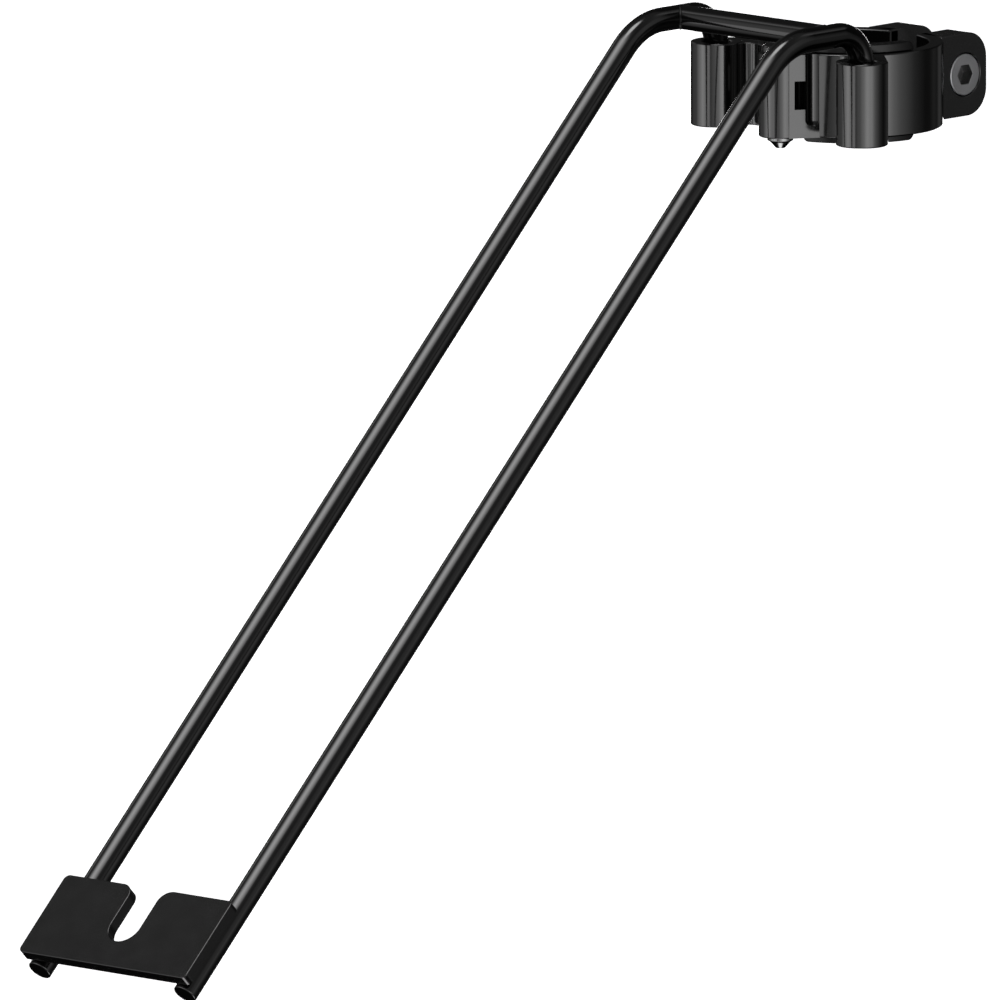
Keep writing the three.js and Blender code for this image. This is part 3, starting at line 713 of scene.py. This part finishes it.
def plate_bead(name, sign):
    """Runs along the inner side of a rod, in the corner under the plate."""
    path = []
    steps = 89
    for k in range(steps + 1):
        y = PLATE_LENGTH / 2 - PLATE_BEAD_LENGTH / 2 + PLATE_BEAD_LENGTH * k / steps
        size = min(1.0, 0.35 + k / 5, 0.35 + (steps - k) / 5)
        path.append((Vector(on_plate(sign * (SOCKET_X - PLATE_BEAD_IN), y, -PLATE_BEAD_UNDER)), size))
    return bead(name, path, PLATE_BEAD_R, WELD_PAINT)


stand_for(plate_bead("weld_plate_right", 1), "plate_weld_right", "rod_frame")
stand_for(plate_bead("weld_plate_left", -1), "plate_weld_left", "rod_frame")


# ---------- floor, light and camera ----------

# Places and distances are in metres from here on.
CAMERA_AZIMUTH, CAMERA_ELEVATION, CAMERA_ROLL = 43.388, 9.428, -0.073
CAMERA_LENS, CAMERA_DISTANCE = 1650.0, 18.4558
CAMERA_RIGHT, CAMERA_UP = -0.00096, -0.00107
AIM = Vector((-0.0644, -0.1366, -0.1603))
FLOOR_Z, FLOOR_REACH = -0.9, 40

floor_mesh = bpy.data.meshes.new("floor")
floor_corners = [(x * FLOOR_REACH, y * FLOOR_REACH, FLOOR_Z) for x, y in ((-1, -1), (1, -1), (1, 1), (-1, 1))]
floor_mesh.from_pydata(floor_corners, [], [(0, 1, 2, 3)])
floor = bpy.data.objects.new("floor", floor_mesh)
bpy.context.scene.collection.objects.link(floor)
floor_look = bpy.data.materials.new("floor")
floor_look.use_nodes = True
floor_shader = floor_look.node_tree.nodes["Principled BSDF"]
floor_shader.inputs["Base Color"].default_value = (0.92, 0.92, 0.92, 1)
floor_shader.inputs["Roughness"].default_value = 0.9
floor_shader.inputs["Emission Color"].default_value = (1, 1, 1, 1)
floor_shader.inputs["Emission Strength"].default_value = 0.95
floor_mesh.materials.append(floor_look)
floor.visible_glossy = False
floor.visible_diffuse = False


def soft_box_ring(tree, turn, stops):
    """A ramp of brightness round the object, from (degrees from the camera's side, brightness) stops."""
    ramp = tree.nodes.new("ShaderNodeValToRGB")
    ramp.color_ramp.interpolation = "LINEAR"
    elements = ramp.color_ramp.elements
    while len(elements) > 1:
        elements.remove(elements[-1])
    for i, (angle, value) in enumerate(stops):
        element = elements[0] if i == 0 else elements.new(0.5 + angle / 360)
        element.position = 0.5 + angle / 360
        element.color = grey(value / BRIGHTEST)
    tree.links.new(turn, ramp.inputs["Fac"])
    return ramp.outputs["Color"]


BRIGHTEST = 9.0
LOWER_RING = [(-180, 0.0), (-112, 0.02), (-92, 0.6), (-60, 0.6), (-30, 0.3), (0, 0.3), (60, 0.02), (98, 0.0),
              (180, 0.0)]
LEVEL_RING = [(-180, 0.02), (-140, 0.02), (-128, 0.25), (-100, 0.6), (-84, 2.0), (-74, 2.9), (-64, 4.0),
              (-54, 3.1), (-44, 2.5), (-32, 2.5), (-29, 0.5), (-16, 1.15), (-8, 1.25), (0, 2.0), (9, 2.5),
              (18, 3.85), (26, 4.3), (36, 3.6), (44, 3.6), (54, 2.0), (64, 1.1), (76, 0.6), (86, 0.26),
              (96, 0.13), (106, 0.04), (116, 0.04), (126, 0.1), (136, 0.04), (143, 0.15),
              (158, 0.02), (180, 0.02)]
RAISED_RING = [(-180, 0.02), (-155, 0.08), (-142, 0.4), (-134, 0.9), (-126, 0.45), (-112, 0.3), (-98, 0.2),
               (-89, 0.7), (-75, 0.6), (-60, 0.5), (0, 0.3), (40, 0.12), (57, 0.42), (78, 0.5), (90, 0.35),
               (102, 0.02), (180, 0.02)]
HIGH_RING = [(-180, 0.03), (-136, 0.08), (-122, 0.13), (-113, 0.5), (-105, 1.3), (-96, 0.4), (-60, 0.5),
             (0, 0.5), (35, 0.28), (60, 0.15), (104, 0.3), (112, 0.7), (120, 0.3), (140, 0.02), (180, 0.03)]
UPPER_RING = [(-180, 0.1), (-120, 0.3), (-106, 0.7), (-82, 4.5), (-45, 6.5), (-7, 4.6), (18, 2.0), (38, 0.4),
              (60, 0.2), (120, 0.2), (180, 0.1)]
BACKDROP_RING = [(-180, BRIGHTEST), (-169, BRIGHTEST), (-163, 0.0), (163, 0.0), (169, BRIGHTEST),
                 (180, BRIGHTEST)]

# Elevations, in degrees, between which each ring takes over from the one below it.
RISING_RINGS = [(LEVEL_RING, -28, -18), (RAISED_RING, 2, 8), (HIGH_RING, 34, 40), (UPPER_RING, 49, 58)]
BACKDROP, BACKDROP_LOW, BACKDROP_HIGH = 5.0, (-24, -21), (-2, 0)
ZENITH, ZENITH_RISE = 8.0, (74, 84)
NADIR, NADIR_RISE = 6.0, (-84, -72)
EVEN_LIGHT, SEEN_BACKGROUND = 0.2, 1.05


def feed(tree, socket_in, value):
    """Gives a node's input a fixed value, or links an output to it."""
    if isinstance(value, (int, float, tuple)):
        socket_in.default_value = value
    else:
        tree.links.new(value, socket_in)


def grey(value):
    """A grey colour with full alpha."""
    return (value,) * 3 + (1,)


def build_world():
    """Studio surroundings: soft boxes that only reflections see, and even white light for all else."""
    world = bpy.data.worlds.new("studio")
    bpy.context.scene.world = world
    world.use_nodes = True
    tree = world.node_tree
    background = tree.nodes["Background"]

    def math_node(operation, *values):
        node = tree.nodes.new("ShaderNodeMath")
        node.operation = operation
        for socket_in, value in zip(node.inputs, values):
            feed(tree, socket_in, value)
        return node.outputs["Value"]

    def mix(factor, a, b):
        node = tree.nodes.new("ShaderNodeMix")
        node.data_type = "RGBA"
        for socket_name, value in (("Factor", factor), ("A", a), ("B", b)):
            feed(tree, node.inputs[socket_name], value)
        return node.outputs["Result"]

    def above(low, high):
        """0 below the first elevation and 1 above the second, in degrees."""
        node = tree.nodes.new("ShaderNodeMapRange")
        node.interpolation_type = "SMOOTHSTEP"
        node.inputs["From Min"].default_value = math.sin(math.radians(low))
        node.inputs["From Max"].default_value = math.sin(math.radians(high))
        tree.links.new(height, node.inputs["Value"])
        return node.outputs["Result"]

    direction = tree.nodes.new("ShaderNodeTexCoord").outputs["Generated"]
    parts = tree.nodes.new("ShaderNodeSeparateXYZ")
    tree.links.new(direction, parts.inputs["Vector"])
    azimuth = math_node("ARCTAN2", parts.outputs["X"], math_node("MULTIPLY", parts.outputs["Y"], -1.0))
    shifted = math_node("SUBTRACT", azimuth, math.radians(CAMERA_AZIMUTH))
    turn = math_node("FRACT", math_node("ADD", math_node("MULTIPLY", shifted, 1 / (2 * math.pi)), 1.5))
    height = parts.outputs["Z"]

    glow = soft_box_ring(tree, turn, LOWER_RING)
    for stops, low, high in RISING_RINGS:
        glow = mix(above(low, high), glow, soft_box_ring(tree, turn, stops))
    strip = math_node("SUBTRACT", above(*BACKDROP_LOW), above(*BACKDROP_HIGH))
    backdrop = math_node("MULTIPLY", strip, soft_box_ring(tree, turn, BACKDROP_RING))
    glow = mix(backdrop, glow, grey(BACKDROP / BRIGHTEST))
    glow = mix(above(*ZENITH_RISE), glow, grey(ZENITH / BRIGHTEST))
    glow = mix(above(*NADIR_RISE), grey(NADIR / BRIGHTEST), glow)
    lit = tree.nodes.new("ShaderNodeMix")
    lit.data_type = "RGBA"
    lit.blend_type = "MULTIPLY"
    lit.clamp_result = False
    lit.inputs["Factor"].default_value = 1.0
    lit.inputs["B"].default_value = grey(BRIGHTEST)
    tree.links.new(glow, lit.inputs["A"])

    light_path = tree.nodes.new("ShaderNodeLightPath")
    plain = mix(light_path.outputs["Is Camera Ray"], grey(EVEN_LIGHT), grey(SEEN_BACKGROUND))
    seen = mix(light_path.outputs["Is Glossy Ray"], plain, lit.outputs["Result"])
    tree.links.new(seen, background.inputs["Color"])


build_world()


def away(azimuth, elevation):
    """The direction outwards from the object at an azimuth and an elevation, both in degrees."""
    a, e = math.radians(azimuth), math.radians(elevation)
    return Vector((math.sin(a) * math.cos(e), -math.cos(a) * math.cos(e), math.sin(e)))


def soft_light(name, azimuth, elevation, distance, size, power):
    """A square light turned to the object; distance and size in metres, power in watts."""
    light = bpy.data.lights.new(name, "AREA")
    light.shape = "SQUARE"
    light.size = size
    light.energy = power
    lamp = bpy.data.objects.new(name, light)
    bpy.context.scene.collection.objects.link(lamp)
    back = away(azimuth, elevation)
    lamp.location = AIM + back * distance
    lamp.rotation_mode = "QUATERNION"
    lamp.rotation_quaternion = (-back).to_track_quat("-Z", "Y")
    lamp.visible_glossy = False
    lamp.visible_camera = False


soft_light("key", CAMERA_AZIMUTH - 50, elevation=62, distance=3.0, size=2.2, power=7)
soft_light("fill", CAMERA_AZIMUTH + 40, elevation=35, distance=3.5, size=2.6, power=6)

camera_data = bpy.data.cameras.new("camera")
camera_data.lens = CAMERA_LENS
camera_data.sensor_width = 36.0
camera_data.clip_start = 0.1
camera_data.clip_end = 100.0
camera = bpy.data.objects.new("camera", camera_data)
bpy.context.scene.collection.objects.link(camera)
bpy.context.scene.camera = camera
towards = away(CAMERA_AZIMUTH, CAMERA_ELEVATION)
azimuth = math.radians(CAMERA_AZIMUTH)
right = Vector((math.cos(azimuth), math.sin(azimuth), 0))
up = towards.cross(right)
camera.location = AIM + right * CAMERA_RIGHT + up * CAMERA_UP + towards * CAMERA_DISTANCE
camera.rotation_mode = "QUATERNION"
camera.rotation_quaternion = (-towards).to_track_quat("-Z", "Y").to_matrix().to_quaternion()
camera.rotation_quaternion.rotate(Quaternion(towards, math.radians(CAMERA_ROLL)))

bpy.context.scene.view_settings.view_transform = "Standard"
bpy.context.scene.view_settings.look = "None"
